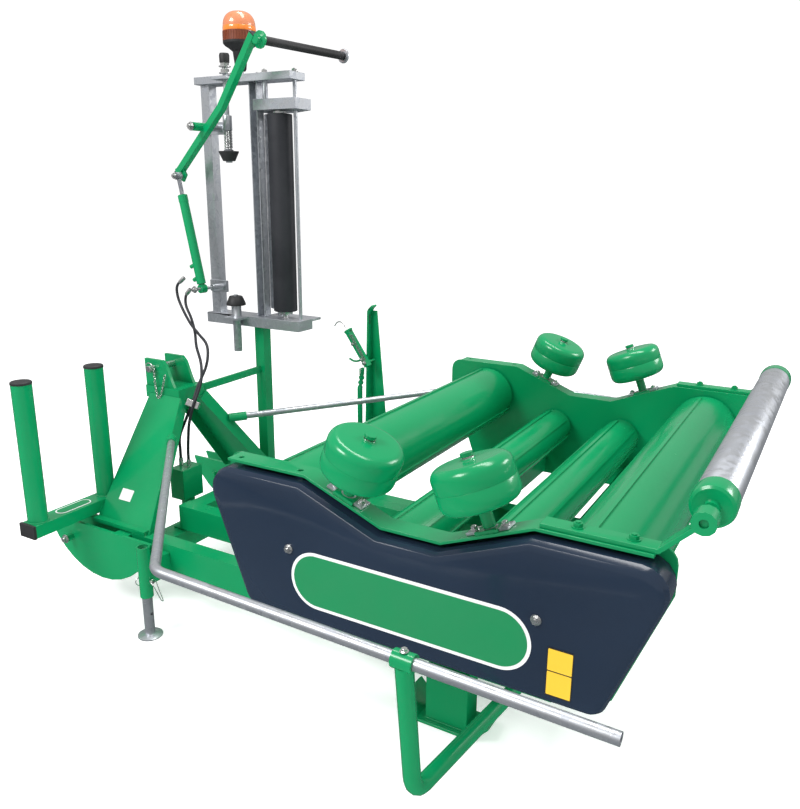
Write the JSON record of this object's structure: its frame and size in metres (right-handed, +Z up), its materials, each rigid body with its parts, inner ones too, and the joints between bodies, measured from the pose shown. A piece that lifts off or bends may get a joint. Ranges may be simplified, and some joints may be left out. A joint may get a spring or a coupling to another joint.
{
  "type": "bale wrapper",
  "caption": "Linkage-mounted round-bale film wrapper: tilting turntable with rollers and guide drums, film dispenser mast, film arm, cutter, safety bars and A-shaped headstock.",
  "frame": {"origin": "on the floor, under the centre of the machine's bounding box", "axes": "+X towards the machine's rear, away from the tractor; +Y towards its right-hand side; +Z up"},
  "size_m": [2.5328, 2.221, 2.281],
  "materials": {
    "green_paint": "glossy green paint on steel",
    "galvanised": "galvanised, satin",
    "panel": "satin dark blue-grey moulding",
    "black_plastic": "matt black",
    "rubber": "matt black rubber",
    "amber": "clear amber moulding"
  },
  "bodies": {
    "base": {"chassis": "green_paint", "headstock": "green_paint", "link_bracket_left": "green_paint", "link_bracket_right": "green_paint", "roll_rack": "green_paint", "rear_foot_left": "green_paint", "rear_foot_right": "green_paint", "safety_bar_left": "galvanised", "safety_bar_right": "galvanised", "bar_bracket_left": "green_paint", "bar_bracket_right": "green_paint", "mast": "green_paint", "dispenser_channel": "galvanised", "dispenser_lower_arm": "galvanised", "dispenser_tube": "galvanised", "dispenser_upper_arm": "galvanised", "gear_cover": "galvanised", "beacon": "amber", "valve_block": "green_paint", "hose_1": "rubber", "hose_2": "rubber", "cutter_post": "green_paint", "tilt_pin": "galvanised"},
    "stand_left": {"stand_leg_left": "galvanised"},
    "stand_right": {"stand_leg_right": "galvanised"},
    "tilt": {"tilt_frame": "green_paint"},
    "tilt_cylinder": {"tilt_barrel": "green_paint"},
    "tilt_ram": {"tilt_rod": "galvanised"},
    "turntable": {"turntable_frame": "green_paint", "side_plate_left": "green_paint", "side_plate_right": "green_paint", "side_panel_left": "panel", "side_panel_right": "panel", "unload_arm_left": "green_paint", "unload_arm_right": "green_paint"},
    "roller_1": {"bale_roller_1": "green_paint"},
    "roller_2": {"bale_roller_2": "green_paint"},
    "roller_3": {"bale_roller_3": "green_paint"},
    "roller_4": {"bale_roller_4": "green_paint"},
    "unload_roller_body": {"unload_roller": "galvanised"},
    "drum_front_left": {"guide_drum_front_left": "green_paint"},
    "drum_front_right": {"guide_drum_front_right": "green_paint"},
    "drum_rear_left": {"guide_drum_rear_left": "green_paint"},
    "drum_rear_right": {"guide_drum_rear_right": "green_paint"},
    "steel_roller": {"stretch_roller_steel": "galvanised"},
    "rubber_roller": {"stretch_roller_rubber": "rubber"},
    "spindle": {"upper_spindle": "galvanised"},
    "cone_upper": {"upper_cone": "black_plastic"},
    "cone_lower": {"lower_cone": "black_plastic"},
    "film_arm_body": {"film_arm": "green_paint"},
    "pole": {"film_pole": "black_plastic"},
    "arm_cylinder": {"arm_barrel": "green_paint"},
    "arm_ram": {"arm_rod": "galvanised"},
    "cutter": {"cutter_arm": "green_paint"}
  },
  "joints": [
    {"name": "tilt_hinge", "type": "hinge", "parent": "base", "child": "tilt", "pos_m": [0.7834, 0, 0.4], "axis": [0, 1, 0], "range_deg": [0, 35]},
    {"name": "turntable_spin", "type": "hinge", "parent": "tilt", "child": "turntable", "pos_m": [0.5634, 0, 0.46], "axis": [0, 0, 1], "continuous": true},
    {"name": "roller_1_spin", "type": "hinge", "parent": "turntable", "child": "roller_1", "pos_m": [0.1284, 0, 0.75], "axis": [0, 1, 0], "continuous": true},
    {"name": "roller_2_spin", "type": "hinge", "parent": "turntable", "child": "roller_2", "pos_m": [0.4284, 0, 0.657], "axis": [0, 1, 0], "continuous": true},
    {"name": "roller_3_spin", "type": "hinge", "parent": "turntable", "child": "roller_3", "pos_m": [0.6984, 0, 0.657], "axis": [0, 1, 0], "continuous": true},
    {"name": "roller_4_spin", "type": "hinge", "parent": "turntable", "child": "roller_4", "pos_m": [0.9984, 0, 0.75], "axis": [0, 1, 0], "continuous": true},
    {"name": "unload_roller_spin", "type": "hinge", "parent": "turntable", "child": "unload_roller_body", "pos_m": [1.2184, 0, 0.967], "axis": [0, 1, 0], "continuous": true},
    {"name": "drum_front_left_spin", "type": "hinge", "parent": "turntable", "child": "drum_front_left", "pos_m": [0.40844, -0.731, 0.94529], "axis": [0.3679, 0, 0.9299], "continuous": true},
    {"name": "drum_front_right_spin", "type": "hinge", "parent": "turntable", "child": "drum_front_right", "pos_m": [0.40844, 0.731, 0.94529], "axis": [0.3679, 0, 0.9299], "continuous": true},
    {"name": "drum_rear_left_spin", "type": "hinge", "parent": "turntable", "child": "drum_rear_left", "pos_m": [0.71836, -0.731, 0.94529], "axis": [-0.3679, 0, 0.9299], "continuous": true},
    {"name": "drum_rear_right_spin", "type": "hinge", "parent": "turntable", "child": "drum_rear_right", "pos_m": [0.71836, 0.731, 0.94529], "axis": [-0.3679, 0, 0.9299], "continuous": true},
    {"name": "tilt_cylinder_swing", "type": "hinge", "parent": "base", "child": "tilt_cylinder", "pos_m": [-0.5866, 0, 0.232], "axis": [0, -1, 0], "range_deg": [0, 5]},
    {"name": "tilt_cylinder_stroke", "type": "slide", "parent": "tilt_cylinder", "child": "tilt_ram", "axis": [1, 0, 0.0024], "range_m": [-0.07, 0]},
    {"name": "stand_left_lift", "type": "slide", "parent": "base", "child": "stand_left", "axis": [0, 0, 1], "range_m": [0, 0.132]},
    {"name": "stand_right_lift", "type": "slide", "parent": "base", "child": "stand_right", "axis": [0, 0, 1], "range_m": [0, 0.132]},
    {"name": "film_arm_hinge", "type": "hinge", "parent": "base", "child": "film_arm_body", "pos_m": [-1.0206, 0.29, 1.824], "axis": [0.1219, 0.9925, 0], "range_deg": [0, 60]},
    {"name": "film_pole_spin", "type": "hinge", "parent": "film_arm_body", "child": "pole", "pos_m": [-0.68313, 0.24856, 2.128], "axis": [0.1219, 0.9925, 0], "continuous": true},
    {"name": "arm_cylinder_swing", "type": "hinge", "parent": "base", "child": "arm_cylinder", "pos_m": [-1.05205, 0.26364, 1.157], "axis": [0.1219, 0.9925, 0], "range_deg": [-4, 0]},
    {"name": "arm_cylinder_stroke", "type": "slide", "parent": "arm_cylinder", "child": "arm_ram", "axis": [-0.2369, 0.0291, 0.9711], "range_m": [0, 0.245]},
    {"name": "rubber_roller_spin", "type": "hinge", "parent": "base", "child": "rubber_roller", "pos_m": [-0.7216, 0.42, 1.5], "axis": [0, 0, 1], "continuous": true},
    {"name": "steel_roller_spin", "type": "hinge", "parent": "base", "child": "steel_roller", "pos_m": [-0.8066, 0.49, 1.5], "axis": [0, 0, 1], "continuous": true},
    {"name": "spindle_lift", "type": "slide", "parent": "base", "child": "spindle", "axis": [0, 0, 1], "range_m": [0, 0.08]},
    {"name": "upper_cone_spin", "type": "hinge", "parent": "spindle", "child": "cone_upper", "pos_m": [-0.9366, 0.345, 1.7], "axis": [0, 0, 1], "continuous": true},
    {"name": "lower_cone_spin", "type": "hinge", "parent": "base", "child": "cone_lower", "pos_m": [-0.9366, 0.345, 1.1], "axis": [0, 0, 1], "continuous": true},
    {"name": "cutter_swing", "type": "hinge", "parent": "base", "child": "cutter", "pos_m": [-0.4446, 0.65, 0.83], "axis": [0, 1, 0], "range_deg": [-25, 60]}
  ],
  "couplings": [
    {"joint": "tilt_cylinder_swing", "follows": "tilt_hinge", "ratio": 0.13712},
    {"joint": "tilt_cylinder_stroke", "follows": "tilt_hinge", "m_per_rad": -0.11223},
    {"joint": "arm_cylinder_swing", "follows": "film_arm_hinge", "ratio": -0.054006},
    {"joint": "arm_cylinder_stroke", "follows": "film_arm_hinge", "m_per_rad": 0.22925},
    {"joint": "steel_roller_spin", "follows": "rubber_roller_spin", "ratio": -0.714}
  ]
}
